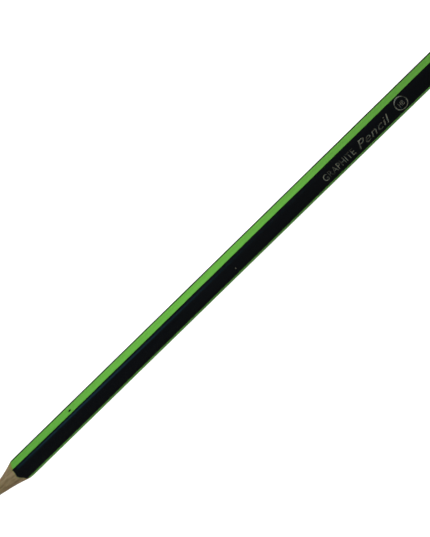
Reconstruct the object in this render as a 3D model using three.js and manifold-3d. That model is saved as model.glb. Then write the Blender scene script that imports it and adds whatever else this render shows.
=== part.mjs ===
// A sharpened wood-cased graphite pencil, in millimetres.
//
// The pencil lies along X with its point at -X and its sawn end at +X, and rests on one green flat.
// The origin is on that flat, below the middle of the pencil, and +Z is up.
//
// Two grooved slats, glued face to face round the graphite core, are shaped to a hexagon with soft corners.
// Six lacquer stripes cover the wood side by side, green and black in turn, one over each flat. The black
// ones are wider and take most of every corner. The sharpening cuts through the lacquer, wood and core.

import * as THREE from 'three';
import { mergeVertices } from 'three/addons/utils/BufferGeometryUtils.js';
import Module from 'manifold-3d';

const wasm = await Module();
wasm.setup();

// Driving dimensions.
const LENGTH = 180;
const ACROSS_FLATS = 7;
const CORNER_RADIUS = 2.25;
const LACQUER = 0.06;
const GLUE_FILM = 0.06;
const CORE_DIAMETER = 2.2;

// The sharpened point is a cone with a blunt end, which flares a little from the shoulder on. Its axis starts
// off the pencil's own axis and rises towards the top face.
const POINT_RADIUS = 0.2;
const POINT_HALF_ANGLE = THREE.MathUtils.degToRad(11.3);
const SHOULDER = 8.4;
const SHOULDER_FLARE = 0.011;
const FLANK_LENGTH = 19;
const POINT_OFFSET_Y = 0.27;
const POINT_OFFSET_Z = 0.12;
const SHARPENING_TILT = THREE.MathUtils.degToRad(1.1);

// Facets. A corner has an odd number, so that its middle facet stands square to the glue film. A green and a
// black stripe share out each corner's facets.
const CORNER_COUNT = 6;
const CORNER_FACETS = 7;
const GREEN_CORNER_FACETS = 2;
const BLACK_CORNER_FACETS = CORNER_FACETS - GREEN_CORNER_FACETS;
const CORE_FACETS = 32;
const FLANK_STEPS = 8;
const SHARPENING_FACETS = 48;

const CORNER_ANGLE = (2 * Math.PI) / CORNER_COUNT;
const CORNER_CENTRE = (ACROSS_FLATS / 2 - CORNER_RADIUS) / Math.cos(CORNER_ANGLE / 2);

// Points on the arc of one corner, at a depth below the lacquer's outer face. Facet numbers count
// anticlockwise from the flat before the corner.
function cornerArc(corner, depth, firstFacet, lastFacet) {
  const middle = corner * CORNER_ANGLE;
  const radius = CORNER_RADIUS - depth;
  const points = [];
  for (let facet = firstFacet; facet <= lastFacet; facet += 1) {
    const angle = middle + CORNER_ANGLE * (facet / CORNER_FACETS - 0.5);
    points.push(new THREE.Vector2(
      CORNER_CENTRE * Math.cos(middle) + radius * Math.cos(angle),
      CORNER_CENTRE * Math.sin(middle) + radius * Math.sin(angle),
    ));
  }
  return points;
}

function hexagonOutline(depth) {
  const points = [];
  for (let corner = 0; corner < CORNER_COUNT; corner += 1) {
    points.push(...cornerArc(corner, depth, 0, CORNER_FACETS));
  }
  return points;
}

function coreOutline() {
  const points = [];
  for (let facet = 0; facet < CORE_FACETS; facet += 1) {
    const angle = (2 * Math.PI * (facet + 0.5)) / CORE_FACETS;
    points.push(new THREE.Vector2(Math.cos(angle), Math.sin(angle)).multiplyScalar(CORE_DIAMETER / 2));
  }
  return points;
}

function aboveGlue(points) {
  return points.filter((point) => point.y > GLUE_FILM / 2);
}

function farthestAcross(points) {
  return Math.max(...points.map((point) => point.x));
}

// Half of the wood: the outline above the glue film, and the groove for the core, traced backwards.
function upperSlatOutline() {
  const outside = hexagonOutline(LACQUER);
  const groove = coreOutline();
  const halfFilm = GLUE_FILM / 2;
  return [
    new THREE.Vector2(farthestAcross(outside), halfFilm),
    ...aboveGlue(outside),
    new THREE.Vector2(-farthestAcross(outside), halfFilm),
    new THREE.Vector2(-farthestAcross(groove), halfFilm),
    ...aboveGlue(groove).reverse(),
    new THREE.Vector2(farthestAcross(groove), halfFilm),
  ];
}

function lowerSlatOutline() {
  return upperSlatOutline().map((point) => new THREE.Vector2(point.x, -point.y)).reverse();
}

// The film between the slats on one side of the core; side is 1 towards +Y and -1 towards -Y.
function glueOutline(side) {
  const inner = side * farthestAcross(coreOutline());
  const outer = side * farthestAcross(hexagonOutline(LACQUER));
  const low = Math.min(inner, outer);
  const high = Math.max(inner, outer);
  const halfFilm = GLUE_FILM / 2;
  return [
    new THREE.Vector2(low, -halfFilm),
    new THREE.Vector2(high, -halfFilm),
    new THREE.Vector2(high, halfFilm),
    new THREE.Vector2(low, halfFilm),
  ];
}

// A stripe over the flat that follows a corner, with its share of the facets of both its corners.
function stripeOutline(corner, cornerShare) {
  const face = (depth) => [
    ...cornerArc(corner, depth, CORNER_FACETS - cornerShare, CORNER_FACETS),
    ...cornerArc(corner + 1, depth, 0, cornerShare),
  ];
  return [...face(0), ...face(LACQUER).reverse()];
}

function toSolid(geometry) {
  geometry.deleteAttribute('normal');
  geometry.deleteAttribute('uv');
  const merged = mergeVertices(geometry);
  const index = merged.getIndex().array;
  const triangles = [];
  for (let start = 0; start < index.length; start += 3) {
    const [a, b, c] = index.slice(start, start + 3);
    if (a !== b && b !== c && c !== a) {
      triangles.push(a, b, c);
    }
  }
  return new wasm.Manifold(new wasm.Mesh({
    numProp: 3,
    vertProperties: new Float32Array(merged.getAttribute('position').array),
    triVerts: new Uint32Array(triangles),
  }));
}

// The section's x and y become Y and Z, and the extrusion runs along X.
function extrudeAlongPencil(outline) {
  const section = new THREE.Shape(outline);
  const geometry = new THREE.ExtrudeGeometry(section, { depth: LENGTH, bevelEnabled: false });
  geometry.applyMatrix4(new THREE.Matrix4().set(
    0, 0, 1, -LENGTH / 2,
    1, 0, 0, 0,
    0, 1, 0, ACROSS_FLATS / 2,
    0, 0, 0, 1,
  ));
  return toSolid(geometry);
}

function flankRadius(behindPoint) {
  const pastShoulder = Math.max(behindPoint - SHOULDER, 0);
  return POINT_RADIUS + Math.tan(POINT_HALF_ANGLE) * behindPoint + SHOULDER_FLARE * pastShoulder ** 2;
}

// Everything that the sharpener leaves: the cone, opening behind it to a cylinder wider than the pencil.
function sharpenedSpace() {
  const clearRadius = 2 * ACROSS_FLATS;
  const farEnd = LENGTH + FLANK_LENGTH;
  const profile = [new THREE.Vector2(0, 0)];
  for (let step = 0; step <= FLANK_STEPS; step += 1) {
    const behindPoint = (step / FLANK_STEPS) * FLANK_LENGTH;
    profile.push(new THREE.Vector2(flankRadius(behindPoint), behindPoint));
  }
  profile.push(new THREE.Vector2(clearRadius, FLANK_LENGTH));
  profile.push(new THREE.Vector2(clearRadius, farEnd));
  profile.push(new THREE.Vector2(0, farEnd));
  const geometry = new THREE.LatheGeometry(profile, SHARPENING_FACETS);
  geometry.applyMatrix4(new THREE.Matrix4().set(
    0, 1, 0, 0,
    0, 0, 1, 0,
    1, 0, 0, 0,
    0, 0, 0, 1,
  ));
  geometry.rotateY(-SHARPENING_TILT);
  geometry.translate(-LENGTH / 2, POINT_OFFSET_Y, ACROSS_FLATS / 2 + POINT_OFFSET_Z);
  return toSolid(geometry);
}

function toGeometry(solid) {
  const mesh = solid.getMesh();
  const geometry = new THREE.BufferGeometry();
  geometry.setAttribute('position', new THREE.BufferAttribute(mesh.vertProperties, mesh.numProp));
  geometry.setIndex(new THREE.BufferAttribute(mesh.triVerts, 1));
  geometry.computeVertexNormals();
  return geometry;
}

const sharpened = sharpenedSpace();

function piece(name, outline, look) {
  const mesh = new THREE.Mesh(
    toGeometry(extrudeAlongPencil(outline).intersect(sharpened)),
    new THREE.MeshStandardMaterial(look),
  );
  mesh.name = name;
  return mesh;
}

const GRAPHITE = { color: 0x3a3b3e, roughness: 0.45, metalness: 0.3 };
const WOOD = { color: 0x82775d, roughness: 0.7, metalness: 0 };
const GLUE = { color: 0x5d4f38, roughness: 0.5, metalness: 0 };
const GREEN_LACQUER = { color: 0x68af44, roughness: 0.35, metalness: 0 };
const BLACK_LACQUER = { color: 0x0e1115, roughness: 0.35, metalness: 0 };

const pencil = new THREE.Group();
pencil.add(
  piece('graphite_core', coreOutline(), GRAPHITE),
  piece('upper_slat', upperSlatOutline(), WOOD),
  piece('lower_slat', lowerSlatOutline(), WOOD),
  piece('glue_film_left', glueOutline(1), GLUE),
  piece('glue_film_right', glueOutline(-1), GLUE),
);

// The stripes, in the order of the flats that they cover, anticlockwise from the upper left one.
const GREEN_STRIPES = ['green_stripe_upper_left', 'green_stripe_upper_right', 'green_stripe_bottom'];
const BLACK_STRIPES = ['black_stripe_top', 'black_stripe_lower_right', 'black_stripe_lower_left'];
GREEN_STRIPES.forEach((name, pair) => {
  pencil.add(piece(name, stripeOutline(2 * pair, GREEN_CORNER_FACETS), GREEN_LACQUER));
});
BLACK_STRIPES.forEach((name, pair) => {
  pencil.add(piece(name, stripeOutline(2 * pair + 1, BLACK_CORNER_FACETS), BLACK_LACQUER));
});

export default pencil;
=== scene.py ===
"""Looks of a sharpened graphite pencil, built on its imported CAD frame.

The pencil lies along X with its point at -X. A place on the barrel is given by two numbers: how far round the
section, measured along the outline from the middle of the top flat towards +Y, and how deep below the
lacquer's outer face.
"""

import math
from collections import namedtuple

import bmesh
import bpy
import numpy as np
from mathutils import Matrix, Vector


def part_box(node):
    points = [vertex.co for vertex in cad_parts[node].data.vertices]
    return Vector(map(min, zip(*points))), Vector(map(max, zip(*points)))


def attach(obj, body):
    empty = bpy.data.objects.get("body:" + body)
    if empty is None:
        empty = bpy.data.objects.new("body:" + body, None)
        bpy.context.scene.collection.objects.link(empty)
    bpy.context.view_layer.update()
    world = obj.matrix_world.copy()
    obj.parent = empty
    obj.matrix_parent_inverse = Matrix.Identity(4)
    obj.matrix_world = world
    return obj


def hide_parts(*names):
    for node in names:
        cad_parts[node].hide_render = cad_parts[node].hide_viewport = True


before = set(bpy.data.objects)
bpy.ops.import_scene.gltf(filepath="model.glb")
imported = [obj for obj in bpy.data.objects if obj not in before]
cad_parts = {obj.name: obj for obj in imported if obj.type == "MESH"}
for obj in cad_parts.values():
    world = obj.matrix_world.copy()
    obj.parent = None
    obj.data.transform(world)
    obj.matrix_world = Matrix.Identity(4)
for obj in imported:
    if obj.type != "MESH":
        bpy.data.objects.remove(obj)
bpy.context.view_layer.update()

MM = 0.001

# ---------------------------------------------------------------- sizes, from the frame

core_low, core_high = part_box("graphite_core")
glue_low, glue_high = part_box("glue_film_left")
TIP_X = core_low.x
END_X = core_high.x
AXIS_Z = (core_low.z + core_high.z) / 2
CORE_RADIUS = (core_high.z - core_low.z) / 2
GLUE_HALF = (glue_high.z - glue_low.z) / 2
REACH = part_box("black_stripe_top")[1].z - AXIS_Z
LACQUER = REACH - (AXIS_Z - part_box("lower_slat")[0].z)
CORNER_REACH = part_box("black_stripe_lower_left")[1].y

# The CAD's corners are faceted; the middle facet of each stands square to its outermost direction.
SIDES = 6
SIDE_ANGLE = 2 * math.pi / SIDES
CAD_CORNER_FACETS = 7
SHARP_SHARE = 1 / math.cos(SIDE_ANGLE / 2)
FACET_SHARE = math.cos(SIDE_ANGLE / CAD_CORNER_FACETS / 2)
CORNER_RADIUS = (REACH * SHARP_SHARE - CORNER_REACH) / (SHARP_SHARE - FACET_SHARE)
HALF_FLAT = (REACH - CORNER_RADIUS) * math.tan(SIDE_ANGLE / 2)
CORNER_ARC = CORNER_RADIUS * SIDE_ANGLE
SIDE_LENGTH = 2 * HALF_FLAT + CORNER_ARC

# The sharpened point, as the CAD cuts it: a cone on an axis of its own, flaring from the shoulder on.
POINT_RADIUS = 0.2 * MM
POINT_SLOPE = math.tan(math.radians(11.3))
SHOULDER = 8.4 * MM
SHOULDER_FLARE = 0.011 / MM
POINT_OFFSET_Y = 0.27 * MM
POINT_OFFSET_Z = 0.12 * MM
SHARPENING_TILT = math.radians(1.1)


# ---------------------------------------------------------------- shape of the pencil

WAVES = 3
WAVE_STRETCH = 0.73
WAVE_PHASE = 1.7
SEED_PHASE = 2.399
CUT_ROUNDS = 12


def wander(place, length, size, seed):
    """A smooth wandering value: sines that never quite repeat, about `length` apart and `size` high."""
    total = 0.0
    for order in range(WAVES):
        stretch = 1.0 + WAVE_STRETCH * order
        phase = seed * SEED_PHASE + order * WAVE_PHASE
        total = total + np.sin(2 * math.pi * place * stretch / length + phase) / stretch
    return size * total / 2


def outline(along, depth):
    """Y and Z of the section, `along` its outline and `depth` below it."""
    side = np.floor((along + HALF_FLAT) / SIDE_LENGTH)
    local = along - side * SIDE_LENGTH
    across = np.minimum(local, HALF_FLAT)
    facing = side * SIDE_ANGLE
    turned = facing + (local - across) / CORNER_RADIUS
    inner = REACH - CORNER_RADIUS
    y = across * np.cos(facing) + inner * np.sin(facing) + (CORNER_RADIUS - depth) * np.sin(turned)
    z = -across * np.sin(facing) + inner * np.cos(facing) + (CORNER_RADIUS - depth) * np.cos(turned)
    return y, z + AXIS_Z


def behind_point(radius):
    """How far behind the point the cone has this radius. The point itself is rounded off."""
    flank = np.maximum(radius - POINT_RADIUS, 0)
    straight = flank / POINT_SLOPE
    past = np.maximum(flank - POINT_SLOPE * SHOULDER, 0)
    steepened = np.sqrt(POINT_SLOPE ** 2 + 4 * SHOULDER_FLARE * past)
    flared = SHOULDER + (steepened - POINT_SLOPE) / (2 * SHOULDER_FLARE)
    nose = radius ** 2 / (4 * POINT_RADIUS * POINT_SLOPE)
    return np.where(radius < 2 * POINT_RADIUS, nose, np.where(straight < SHOULDER, straight, flared))


def cut_start(y, z):
    """X at which the cone meets a line along the pencil at Y and Z, found by rounds of correction."""
    x = np.full(np.shape(y), TIP_X)
    lean_x = math.cos(SHARPENING_TILT)
    lean_z = math.sin(SHARPENING_TILT)
    side = y - POINT_OFFSET_Y
    rise = z - AXIS_Z - POINT_OFFSET_Z
    for _ in range(CUT_ROUNDS):
        forward = x - TIP_X
        along = forward * lean_x + rise * lean_z
        up = rise * lean_x - forward * lean_z
        x = x + behind_point(np.hypot(side, up)) - along
    return x


# ---------------------------------------------------------------- mesh helpers

WELD_DISTANCE = 1e-7
SLIVER_LENGTH = 1e-8
SHARP_ANGLE = math.radians(35)


def grid_faces(index):
    """Quads between neighbours of a two-dimensional array of vertex numbers."""
    corners = (index[:-1, :-1], index[1:, :-1], index[1:, 1:], index[:-1, 1:])
    return np.stack([corner.ravel() for corner in corners], axis=1)


def add_piece(name, mesh, material):
    """Puts a mesh in the scene, riding on the pencil's only body."""
    mesh.materials.clear()
    mesh.materials.append(material)
    piece = bpy.data.objects.new(name, mesh)
    bpy.context.scene.collection.objects.link(piece)
    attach(piece, "root")
    return piece


def make_piece(name, points, faces, depths, material):
    """A welded, outward-facing piece. Materials can read its depths."""
    mesh = bpy.data.meshes.new(name)
    mesh.from_pydata(points.tolist(), [], [tuple(face) for face in faces.tolist()])
    mesh.attributes.new("depth", "FLOAT", "POINT").data.foreach_set("value", depths)
    build = bmesh.new()
    build.from_mesh(mesh)
    bmesh.ops.remove_doubles(build, verts=build.verts, dist=WELD_DISTANCE)
    bmesh.ops.dissolve_degenerate(build, edges=build.edges, dist=SLIVER_LENGTH)
    bmesh.ops.recalc_face_normals(build, faces=build.faces)
    build.to_mesh(mesh)
    build.free()
    mesh.shade_smooth()
    mesh.set_sharp_from_angle(angle=SHARP_ANGLE)
    return add_piece(name, mesh, material)


def block_piece(name, block, material, depth=0.0, closed_round=False, solid=False):
    """The skin of a block of points numbered [layer outwards][row along X][column round].

    depth is how deep each point lies below the lacquer's outer face. closed_round joins the last column to
    the first. solid leaves out the innermost layer, which lies on a line.
    """
    layers, rows, columns = block.shape[:3]
    depths = np.broadcast_to(depth, (layers, rows, columns)).ravel()
    index = np.arange(layers * rows * columns).reshape(layers, rows, columns)
    if closed_round:
        index = np.concatenate([index, index[:, :, :1]], axis=2)
    skins = [index[-1], index[:, 0], index[:, -1]]
    if not solid:
        skins.append(index[0])
    if not closed_round:
        skins += [index[:, :, 0], index[:, :, -1]]
    faces = np.concatenate([grid_faces(skin) for skin in skins])
    used, renumbered = np.unique(faces, return_inverse=True)
    points = block.reshape(-1, 3)[used]
    return make_piece(name, points, renumbered.reshape(faces.shape), depths[used], material)


def sharpened_block(y, z):
    """Points for block_piece from the cut front to the sawn end, at Y and Z of each layer and column."""
    front = np.stack([cut_start(y, z), y, z], axis=-1)
    back = np.stack([np.full(y.shape, END_X), y, z], axis=-1)
    return np.stack([front, back], axis=1)


# ---------------------------------------------------------------- material helpers

class Nodes:
    """A short way to write a material's node tree."""

    def __init__(self, name):
        self.material = bpy.data.materials.new(name)
        self.material.use_nodes = True
        self.tree = self.material.node_tree
        self.shader = self.tree.nodes["Principled BSDF"]
        self.place = self.tree.nodes.new("ShaderNodeTexCoord").outputs["Object"]

    def link(self, source, target):
        self.tree.links.new(source, target)

    def add(self, kind, **settings):
        node = self.tree.nodes.new(kind)
        for key, value in settings.items():
            setattr(node, key, value)
        return node

    def scaled(self, scale, shift=(0, 0, 0)):
        """Object coordinates, stretched."""
        node = self.add("ShaderNodeMapping")
        node.inputs["Scale"].default_value = scale
        node.inputs["Location"].default_value = shift
        self.link(self.place, node.inputs["Vector"])
        return node.outputs["Vector"]

    def noise(self, scale, shift=(0, 0, 0), detail=3.0, roughness=0.5, distortion=0.0):
        node = self.add("ShaderNodeTexNoise")
        node.inputs["Scale"].default_value = 1.0
        node.inputs["Detail"].default_value = detail
        node.inputs["Roughness"].default_value = roughness
        node.inputs["Distortion"].default_value = distortion
        self.link(self.scaled(scale, shift), node.inputs["Vector"])
        return node.outputs["Fac"]

    def wave(self, direction, period, scale, distortion):
        """Soft bands across a direction, one every period."""
        node = self.add("ShaderNodeTexWave", wave_type="BANDS", bands_direction=direction)
        node.inputs["Scale"].default_value = math.pi / 10 / period
        node.inputs["Distortion"].default_value = distortion
        node.inputs["Detail"].default_value = 2.0
        self.link(self.scaled(scale), node.inputs["Vector"])
        return node.outputs["Fac"]

    def ramp(self, source, stops):
        """A colour ramp; stops are (position, colour)."""
        node = self.add("ShaderNodeValToRGB")
        elements = node.color_ramp.elements
        while len(elements) < len(stops):
            elements.new(0.5)
        for element, (position, colour) in zip(elements, stops):
            element.position = position
            element.color = (*colour, 1)
        self.link(source, node.inputs["Fac"])
        return node.outputs["Color"]

    def span(self, source, low, high, to_low=0.0, to_high=1.0):
        node = self.add("ShaderNodeMapRange")
        node.inputs["From Min"].default_value = low
        node.inputs["From Max"].default_value = high
        node.inputs["To Min"].default_value = to_low
        node.inputs["To Max"].default_value = to_high
        self.link(source, node.inputs["Value"])
        return node.outputs["Result"]

    def mix(self, factor, first, second, blend="MIX"):
        """Mixes two colours; each is a socket or a plain colour, and so is the factor or a number."""
        node = self.add("ShaderNodeMix", data_type="RGBA", blend_type=blend)
        for socket, value in ((node.inputs[0], factor), (node.inputs[6], first), (node.inputs[7], second)):
            if isinstance(value, bpy.types.NodeSocket):
                self.link(value, socket)
            elif isinstance(value, tuple):
                socket.default_value = (*value, 1)
            else:
                socket.default_value = value
        return node.outputs[2]

    def attribute(self, name):
        return self.add("ShaderNodeAttribute", attribute_name=name).outputs["Fac"]

    def bump(self, height, distance, strength=1.0):
        """Adds a bump on top of any bump already there."""
        node = self.add("ShaderNodeBump")
        node.inputs["Strength"].default_value = strength
        node.inputs["Distance"].default_value = distance
        self.link(height, node.inputs["Height"])
        normal = self.shader.inputs["Normal"]
        if normal.is_linked:
            self.link(normal.links[0].from_socket, node.inputs["Normal"])
        self.link(node.outputs["Normal"], normal)

    def set(self, **values):
        """Sets or links sockets of the shader, such as base_color."""
        for key, value in values.items():
            socket = self.shader.inputs[key.replace("_", " ").title().replace("Ior", "IOR")]
            if isinstance(value, bpy.types.NodeSocket):
                self.link(value, socket)
            elif isinstance(value, tuple):
                socket.default_value = (*value, 1)
            else:
                socket.default_value = value


# ---------------------------------------------------------------- materials

def lacquer(name, deep, light, primer, roughness, wear, specular):
    """Glossy pencil lacquer: thin, mottled coats over straight wood grain, which shows as faint long ripples.

    Where the sharpener has cut it, the primer under the colour shows. wear is how much rougher it gets where
    it is scuffed.
    """
    nodes = Nodes(name)
    clouds = nodes.noise((60, 500, 500), detail=2)
    streaks = nodes.noise((30, 3500, 3500), shift=(3, 1, 4))
    mottle = nodes.noise((1500, 1900, 1900), shift=(7, 2, 5), detail=2)
    tone = nodes.mix(0.45, nodes.mix(0.4, clouds, streaks), mottle)
    colour = nodes.ramp(tone, [(0.35, deep), (0.65, light)])
    under = nodes.span(nodes.attribute("depth"), 0.2 * LACQUER, 0.5 * LACQUER)
    nodes.set(base_color=nodes.mix(under, colour, primer))
    scuffs = nodes.noise((700, 2200, 2200), shift=(5, 2, 8), detail=4)
    nodes.set(roughness=nodes.span(scuffs, 0.3, 0.8, roughness, roughness + wear))
    nodes.set(specular_ior_level=specular)
    nodes.bump(nodes.noise((90, 900, 900), shift=(1, 7, 2), detail=1), 0.012 * MM)
    nodes.bump(nodes.noise((2600, 2600, 2600), shift=(4, 4, 9), detail=1), 0.0015 * MM)
    return nodes.material


def green_lacquer():
    return lacquer(
        "green_lacquer",
        deep=(0.080, 0.300, 0.030),
        light=(0.105, 0.366, 0.036),
        primer=(0.185, 0.180, 0.030),
        roughness=0.28,
        wear=0.12,
        specular=0.35,
    )


def black_lacquer():
    return lacquer(
        "black_lacquer",
        deep=(0.0018, 0.0023, 0.0030),
        light=(0.0028, 0.0036, 0.0047),
        primer=(0.120, 0.122, 0.066),
        roughness=0.13,
        wear=0.07,
        specular=0.4,
    )


SOAK_DEPTH = 0.12 * MM
GROWTH_RING = 1.8 * MM
TURNING_MARK = 0.35 * MM


def sharpened_wood():
    """Light straight-grained wood: growth streaks, fine dark pores and the turning marks of the sharpener.

    Just under the lacquer the primer has soaked in.
    """
    nodes = Nodes("sharpened_wood")
    streaks = nodes.noise((60, 2000, 1500), detail=5, roughness=0.65, distortion=0.3)
    colour = nodes.ramp(streaks, [
        (0.30, (0.150, 0.096, 0.044)),
        (0.48, (0.235, 0.162, 0.083)),
        (0.70, (0.305, 0.222, 0.124)),
    ])
    growth = nodes.wave("Y", GROWTH_RING, (0.12, 1, 0.25), distortion=1.5)
    colour = nodes.mix(nodes.span(growth, 0.55, 0.95, 0, 0.32), colour, (0.120, 0.072, 0.032))
    blush = nodes.noise((70, 500, 420), shift=(9, 3, 1), detail=2)
    colour = nodes.mix(nodes.span(blush, 0.52, 0.75, 0, 0.5), colour, (0.27, 0.165, 0.095))
    pores = nodes.noise((260, 7500, 7500), shift=(2, 5, 7), detail=2)
    colour = nodes.mix(nodes.span(pores, 0.62, 0.74, 0, 0.55), colour, (0.085, 0.058, 0.032))
    soaked = nodes.span(nodes.attribute("depth"), LACQUER, LACQUER + SOAK_DEPTH, 0.7, 0.0)
    colour = nodes.mix(soaked, colour, (0.190, 0.175, 0.052))
    nodes.set(base_color=colour, roughness=nodes.span(streaks, 0.3, 0.7, 0.62, 0.78), specular_ior_level=0.3)
    nodes.bump(streaks, 0.02 * MM)
    nodes.bump(pores, 0.01 * MM)
    nodes.bump(nodes.wave("X", TURNING_MARK, (1, 1, 1), distortion=2.5), 0.004 * MM)
    return nodes.material


def graphite():
    """Graphite core: turned rings on the point, a metallic grey sheen and darker smears."""
    nodes = Nodes("graphite")
    smears = nodes.noise((400, 1500, 1500), detail=4)
    nodes.set(base_color=nodes.ramp(smears, [(0.3, (0.035, 0.036, 0.040)), (0.75, (0.085, 0.086, 0.092))]))
    nodes.set(metallic=0.35, roughness=nodes.span(smears, 0.3, 0.7, 0.34, 0.52))
    rings = nodes.noise((9000, 500, 500), shift=(1, 1, 1), detail=2)
    nodes.bump(rings, 0.006 * MM)
    return nodes.material


def dried_glue():
    nodes = Nodes("dried_glue")
    patches = nodes.noise((300, 2000, 2000), detail=3)
    nodes.set(base_color=nodes.ramp(patches, [(0.3, (0.085, 0.058, 0.026)), (0.7, (0.125, 0.090, 0.044))]))
    nodes.set(roughness=nodes.span(patches, 0.3, 0.7, 0.4, 0.6))
    nodes.bump(patches, 0.005 * MM)
    return nodes.material


def stamped_foil():
    """Dull silver foil, patchy where it took unevenly."""
    nodes = Nodes("stamped_foil")
    patches = nodes.noise((900, 1300, 1300), detail=4, roughness=0.6)
    pressing = nodes.noise((330, 420, 420), shift=(2, 8, 3), detail=1)
    took = nodes.mix(0.65, patches, pressing)
    nodes.set(base_color=nodes.ramp(took, [(0.40, (0.06, 0.065, 0.052)), (0.60, (0.36, 0.39, 0.31))]))
    nodes.set(metallic=0.7, roughness=nodes.span(patches, 0.3, 0.7, 0.55, 0.36))
    nodes.bump(patches, 0.004 * MM)
    return nodes.material


def pale_floor():
    nodes = Nodes("pale_floor")
    mottle = nodes.noise((6, 6, 6), detail=3)
    nodes.set(base_color=nodes.ramp(mottle, [(0.3, (0.80, 0.80, 0.79)), (0.7, (0.83, 0.83, 0.82))]))
    nodes.set(roughness=0.9, specular_ior_level=0.0)
    nodes.set(emission_color=(1.0, 1.0, 0.995), emission_strength=FLOOR_GLOW)
    return nodes.material


# ---------------------------------------------------------------- pieces

CORE_LAYERS = 48
CORE_CROWDING = 1.2
ROUND_COLUMNS = 96
SLAT_LAYERS = 56
SLAT_COLUMNS = 151
GLUE_COLUMNS = 60
STRIPE_COLUMNS = 61
STRIPE_ROWS = 121
EDGE_WANDER = 0.03 * MM
EDGE_WAVE = 31 * MM
SPREAD_FADE = 0.1
EDGE_ROUNDING = 0.08 * MM
EDGE_THINNING = 0.01 * MM
CHIP_LENGTH = 0.9 * MM
GREEN_CHIPPING = 1.05 * MM
BLACK_CHIPPING = 0.1 * MM
CHIP_UNEVENNESS = 0.3
CHIP_FULLNESS = 0.3
BARED_SHARE = 0.45

# An edge between two stripes: how far round the outline it lies, the seed of its wandering, how far it drifts
# towards the rear and how far it spreads in front.
Edge = namedtuple("Edge", "place seed drift spread", defaults=(0.0, 0.0))


def radial_layers(inner_y, inner_z, outer_y, outer_z, shares):
    share = shares[:, None]
    return inner_y + (outer_y - inner_y) * share, inner_z + (outer_z - inner_z) * share


def core_piece(material):
    turn = np.linspace(0, 2 * math.pi, ROUND_COLUMNS, endpoint=False)
    rim_y = CORE_RADIUS * np.sin(turn)
    rim_z = AXIS_Z + CORE_RADIUS * np.cos(turn)
    shares = np.linspace(0, 1, CORE_LAYERS) ** CORE_CROWDING
    y, z = radial_layers(POINT_OFFSET_Y, AXIS_Z + POINT_OFFSET_Z, rim_y, rim_z, shares)
    block = sharpened_block(y, z)
    piece = block_piece("core", block, material, closed_round=True, solid=True)
    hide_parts("graphite_core")


def slat_piece(name, node, sign, material):
    """Half of the casing; sign is 1 above the glue and -1 below it."""
    reach = 1.5 * SIDE_LENGTH
    outer_y, outer_z = outline(np.linspace(-reach, reach, SLAT_COLUMNS), LACQUER)
    height = np.maximum(outer_z - AXIS_Z, GLUE_HALF)
    facing = np.arctan2(outer_y, outer_z - AXIS_Z)
    groove_height = np.maximum(CORE_RADIUS * np.cos(facing), GLUE_HALF)
    shares = np.linspace(0, 1, SLAT_LAYERS)
    y, high = radial_layers(CORE_RADIUS * np.sin(facing), groove_height, outer_y, height, shares)
    z = AXIS_Z + sign * high
    block = sharpened_block(y, z)
    depth = LACQUER + np.hypot(outer_y - y, height - high)
    piece = block_piece(name, block, material, depth[:, None, :])
    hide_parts(node)


def glue_piece(name, node, material):
    low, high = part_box(node)
    y, z = np.meshgrid(
        np.linspace(low.y, high.y, GLUE_COLUMNS),
        (AXIS_Z - GLUE_HALF, AXIS_Z + GLUE_HALF),
    )
    piece = block_piece(name, sharpened_block(y, z), material, LACQUER)
    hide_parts(node)


def edge_line(edge, rows):
    """Where an edge runs, from front to rear."""
    x = TIP_X + (END_X - TIP_X) * rows
    spread = edge.spread * np.exp(-rows / SPREAD_FADE)
    return edge.place + edge.drift * rows + spread + wander(x, EDGE_WAVE, EDGE_WANDER, edge.seed)


def stripe_piece(node, from_edge, to_edge, chipping, material):
    """One stripe of lacquer between two edges, thinning out at both.

    At the front the sharpener has broken it back, by about the chipping in its middle and by nothing at its
    edges. The break slopes, so that it shows the primer, and leaves a share of the wood bare.
    """
    shares = (1 - np.cos(np.linspace(0, math.pi, STRIPE_COLUMNS))) / 2
    rows = np.linspace(0, 1, STRIPE_ROWS)
    first = edge_line(from_edge, rows)[:, None]
    width = edge_line(to_edge, rows)[:, None] - first
    along = first + width * shares
    to_rim = width * np.minimum(shares, 1 - shares)
    thinning = EDGE_THINNING * np.clip(1 - to_rim / EDGE_ROUNDING, 0, 1) ** 2
    unevenness = 1 + wander(along, CHIP_LENGTH, CHIP_UNEVENNESS, from_edge.seed)
    chips = chipping * np.sin(math.pi * shares) ** CHIP_FULLNESS * unevenness
    depth = np.stack([np.full(along.shape, LACQUER), thinning])
    y, z = outline(along, depth)
    front = cut_start(y, z) + np.stack([BARED_SHARE * chips, chips])
    x = front + (END_X - front) * rows[:, None]
    piece = block_piece("lacquer_" + node, np.stack([x, y, z], axis=-1), material, depth)
    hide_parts(node)


# ---------------------------------------------------------------- stamped mark

MARK_LIFT = 0.01 * MM
STRIP_PITCH = 0.12 * MM
LETTER_SPACING = 1.06
LETTER_STEPS = 4
RING_LAYERS = 4
DROP_COLUMNS = 24
DROP_LAYERS = 7
DROP_RAGGEDNESS = 0.16
DROP_SEED = 2
DROP_HEIGHT = 0.03 * MM
DROP_FALL = 0.98
DROP_ROOT = 0.01 * MM


def slice_across(mesh, pitch):
    """Cuts a flat mesh into narrow strips along its x, so that it can bend round the barrel."""
    build = bmesh.new()
    build.from_mesh(mesh)
    heights = [vertex.co.y for vertex in build.verts]
    for level in np.arange(min(heights) + pitch, max(heights), pitch):
        everything = build.verts[:] + build.edges[:] + build.faces[:]
        bmesh.ops.bisect_plane(build, geom=everything, plane_co=(0, level, 0), plane_no=(0, 1, 0))
    build.to_mesh(mesh)
    build.free()


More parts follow.
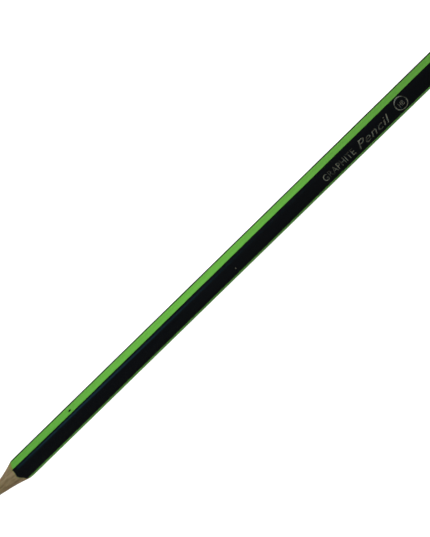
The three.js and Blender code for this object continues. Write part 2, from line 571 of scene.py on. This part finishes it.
def wrap_on_barrel(mesh, x_of, along_of):
    """Lays a flat mesh on the barrel: its x along the pencil, its y round the outline, its z outwards."""
    for vertex in mesh.vertices:
        flat = vertex.co.copy()
        y, z = outline(np.array(along_of + flat.y), np.array(-flat.z))
        vertex.co = (x_of + flat.x, float(y), float(z))


def text_mesh(name, words, height, width, slant):
    """Flat letters centred on the origin, `height` tall and `width` long, a hair thick."""
    curve = bpy.data.curves.new(name, "FONT")
    curve.body = words
    curve.align_x = "CENTER"
    curve.align_y = "CENTER"
    curve.size = 1.0
    curve.shear = slant
    curve.space_character = LETTER_SPACING
    curve.extrude = 0.5
    curve.resolution_u = LETTER_STEPS
    text = bpy.data.objects.new(name, curve)
    mesh = bpy.data.meshes.new_from_object(text)
    bpy.data.objects.remove(text)
    corners = np.array([vertex.co for vertex in mesh.vertices])
    low = corners.min(axis=0)
    high = corners.max(axis=0)
    centre = Vector((low + high) / 2)
    stretch = (width / (high[0] - low[0]), height / (high[1] - low[1]), 2 * MARK_LIFT)
    mesh.transform(Matrix.Diagonal((*stretch, 1)) @ Matrix.Translation(-centre))
    return mesh


def mark_piece(name, words, x_of, along_of, height, width, material, slant=0.0):
    mesh = text_mesh(name, words, height, width, slant)
    slice_across(mesh, STRIP_PITCH)
    wrap_on_barrel(mesh, x_of, along_of)
    add_piece(name, mesh, material)


def ring_piece(name, x_of, along_of, radius, line, material):
    """A thin stamped ring, wrapped round the top flat and onto its corners."""
    turn = np.linspace(0, 2 * math.pi, ROUND_COLUMNS, endpoint=False)
    radii = np.linspace(radius - line, radius, RING_LAYERS)[:, None]
    x = x_of + radii * np.cos(turn)
    block = []
    for depth in (MARK_LIFT, -MARK_LIFT):
        y, z = outline(along_of + radii * np.sin(turn), depth)
        block.append(np.stack([x, y, z], axis=-1))
    block_piece(name, np.stack(block), material, closed_round=True)


def splash_piece(name, x_of, along_of, length, breadth, material):
    """A dried drop, thickest in its middle."""
    turn = np.linspace(0, 2 * math.pi, DROP_COLUMNS, endpoint=False)
    shares = np.linspace(0, 1, DROP_LAYERS)[:, None]
    ragged = 1 + wander(turn, 2 * math.pi, DROP_RAGGEDNESS, DROP_SEED)
    along = along_of + shares * ragged * breadth / 2 * np.sin(turn)
    x = x_of + shares * ragged * length / 2 * np.cos(turn)
    thick = DROP_HEIGHT * np.sqrt(1 - shares ** 2 * DROP_FALL) * np.ones(turn.shape)
    block = []
    for depth in (np.full(along.shape, DROP_ROOT), -thick):
        y, z = outline(along, depth)
        block.append(np.stack([x, y, z], axis=-1))
    block_piece(name, np.stack(block), material, closed_round=True)


# ---------------------------------------------------------------- stage, light and camera

FLOOR_GLOW = 0.93
STUDIO_RADIUS = 3.0
WALL_PANELS = 64
CAMERA_DISTANCE = 0.8
FRAME_HEIGHT = 147.6 * MM
SENSOR = 36.0
ROLL_TO_LEFT = math.radians(15.5)
LEAN_TO_END = math.radians(5.2)
PENCIL_SLOPE = math.radians(44.3)
LOOK_AT_X = 2.5 * MM
LOOK_AT_SIDE = 2.25 * MM


def make_camera():
    """Looks down on the pencil so that it crosses the frame from low on the left to high on the right."""
    back = Vector((
        math.sin(LEAN_TO_END),
        math.cos(LEAN_TO_END) * math.sin(ROLL_TO_LEFT),
        math.cos(LEAN_TO_END) * math.cos(ROLL_TO_LEFT),
    ))
    pencil = Vector((1, 0, 0))
    along = (pencil - back * pencil.dot(back)).normalized()
    beside = back.cross(along)
    right = along * math.cos(PENCIL_SLOPE) - beside * math.sin(PENCIL_SLOPE)
    up = along * math.sin(PENCIL_SLOPE) + beside * math.cos(PENCIL_SLOPE)
    target = Vector((LOOK_AT_X, 0, AXIS_Z)) + beside * LOOK_AT_SIDE
    data = bpy.data.cameras.new("camera")
    data.sensor_width = SENSOR
    data.lens = SENSOR * CAMERA_DISTANCE / FRAME_HEIGHT
    data.clip_start = 0.05
    data.clip_end = 20
    camera = bpy.data.objects.new("camera", data)
    place = Matrix((right, up, back)).transposed().to_4x4()
    place.translation = target + back * CAMERA_DISTANCE
    camera.matrix_world = place
    bpy.context.scene.collection.objects.link(camera)
    bpy.context.scene.camera = camera


def soft_light(name, towards, distance, size, power, colour, glossy=False, diffuse=True):
    """A rectangular area light that faces the pencil from the given direction."""
    data = bpy.data.lights.new(name, "AREA")
    data.shape = "RECTANGLE"
    data.size, data.size_y = size
    data.energy = power
    data.color = colour
    light = bpy.data.objects.new(name, data)
    direction = Vector(towards).normalized()
    light.location = Vector((0, 0, AXIS_Z)) + direction * distance
    light.rotation_mode = "QUATERNION"
    light.rotation_quaternion = direction.to_track_quat("Z", "Y")
    light.visible_camera = False
    light.visible_glossy = glossy
    light.visible_diffuse = diffuse
    bpy.context.scene.collection.objects.link(light)


def make_light():
    world = bpy.data.worlds.new("studio")
    world.use_nodes = True
    background = world.node_tree.nodes["Background"]
    background.inputs["Color"].default_value = (0.95, 0.98, 1.0, 1)
    background.inputs["Strength"].default_value = 0.06
    bpy.context.scene.world = world
    soft_light(
        "key", towards=(-0.08, 0.71, 0.68), distance=0.13, size=(0.08, 0.08),
        power=0.140, colour=(0.97, 0.99, 0.96),
    )
    soft_light(
        "cool_tip", towards=(-0.62, 0.2, 0.76), distance=0.3, size=(0.15, 0.15),
        power=0.16, colour=(0.25, 0.85, 1.0),
    )
    soft_light(
        "warm_rear", towards=(0.36, 0.72, 0.6), distance=0.2, size=(0.1, 0.1),
        power=0.065, colour=(1.0, 0.4, 0.6),
    )
    soft_light(
        "end_fill", towards=(0.9, 0.1, 0.42), distance=0.35, size=(0.15, 0.15),
        power=0.16, colour=(1.0, 0.98, 0.95),
    )
    soft_light(
        "right_fill", towards=(-0.55, -0.5, 0.67), distance=0.3, size=(0.15, 0.15),
        power=0.29, colour=(1.0, 0.85, 0.65),
    )
    soft_light(
        "window", towards=(-0.185, 0.55, 0.81), distance=1.0, size=(0.08, 0.5),
        power=0.31, colour=(0.1, 0.45, 0.7), glossy=True, diffuse=False,
    )


def stage_piece(name, points, faces, material):
    mesh = bpy.data.meshes.new(name)
    mesh.from_pydata(points.tolist(), [], faces)
    mesh.materials.append(material)
    piece = bpy.data.objects.new(name, mesh)
    piece.visible_glossy = False
    bpy.context.scene.collection.objects.link(piece)
    return piece


def make_studio(material):
    """A glowing floor with a round wall of the same stuff, which only the camera sees."""
    turn = np.linspace(0, 2 * math.pi, WALL_PANELS, endpoint=False)
    ring = STUDIO_RADIUS * np.stack([np.cos(turn), np.sin(turn), np.zeros(WALL_PANELS)], axis=1)
    stage_piece("floor", ring, [tuple(range(WALL_PANELS))], material)
    top = ring + np.array([0, 0, STUDIO_RADIUS])
    panels = []
    for panel in range(WALL_PANELS):
        after = (panel + 1) % WALL_PANELS
        panels.append((panel, after, after + WALL_PANELS, panel + WALL_PANELS))
    wall = stage_piece("backdrop", np.concatenate([ring, top]), panels, material)
    wall.visible_diffuse = False
    wall.visible_shadow = False


# ---------------------------------------------------------------- scene

make_camera()
make_light()
make_studio(pale_floor())

wood = sharpened_wood()
glue = dried_glue()
green = green_lacquer()
black = black_lacquer()
foil = stamped_foil()

core_piece(graphite())
slat_piece("upper_slat_wood", "upper_slat", 1, wood)
slat_piece("lower_slat_wood", "lower_slat", -1, wood)
glue_piece("glue_left", "glue_film_left", glue)
glue_piece("glue_right", "glue_film_right", glue)

# The stripes and the edges between them, from the right edge of the top stripe over the top to the left and
# on round to where they started.
GREEN_HALF = 1.44 * MM
TOP_RIGHT = Edge(-2.74 * MM, seed=1)
TOP_LEFT = Edge(2.33 * MM, seed=2, drift=0.27 * MM, spread=0.28 * MM)
EDGES = [
    TOP_RIGHT,
    TOP_LEFT,
    Edge(SIDE_LENGTH + 1.28 * MM, seed=3),
    Edge(3 * SIDE_LENGTH - GREEN_HALF, seed=4),
    Edge(3 * SIDE_LENGTH + GREEN_HALF, seed=5),
    Edge(5 * SIDE_LENGTH - GREEN_HALF, seed=6),
    TOP_RIGHT._replace(place=TOP_RIGHT.place + SIDES * SIDE_LENGTH),
]
STRIPE_NODES = [
    "black_stripe_top",
    "green_stripe_upper_left",
    "black_stripe_lower_left",
    "green_stripe_bottom",
    "black_stripe_lower_right",
    "green_stripe_upper_right",
]
for node, from_edge, to_edge in zip(STRIPE_NODES, EDGES, EDGES[1:]):
    if node.startswith("green"):
        stripe_piece(node, from_edge, to_edge, GREEN_CHIPPING, green)
    else:
        stripe_piece(node, from_edge, to_edge, BLACK_CHIPPING, black)

WORDS_ALONG = -0.28 * MM
RING_X = 70.6 * MM
mark_piece(
    "stamped_word_graphite", "GRAPHITE", x_of=46.8 * MM, along_of=WORDS_ALONG,
    height=1.95 * MM, width=11.4 * MM, material=foil,
)
mark_piece(
    "stamped_word_pencil", "Pencil", x_of=59.9 * MM, along_of=WORDS_ALONG,
    height=2.35 * MM, width=11.9 * MM, material=foil, slant=0.35,
)
ring_piece("stamped_ring", RING_X, along_of=0.05 * MM, radius=2.05 * MM, line=0.30 * MM, material=foil)
mark_piece(
    "stamped_grade", "HB", x_of=RING_X, along_of=-0.05 * MM,
    height=1.35 * MM, width=1.8 * MM, material=foil,
)
splash_piece(
    "paint_splash", x_of=-53.5 * MM, along_of=SIDE_LENGTH - 0.36 * MM,
    length=0.9 * MM, breadth=0.72 * MM, material=black,
)
splash_piece(
    "foil_speck", x_of=6.9 * MM, along_of=-0.8 * MM,
    length=0.3 * MM, breadth=0.25 * MM, material=foil,
)

bpy.context.scene.view_settings.view_transform = "Standard"
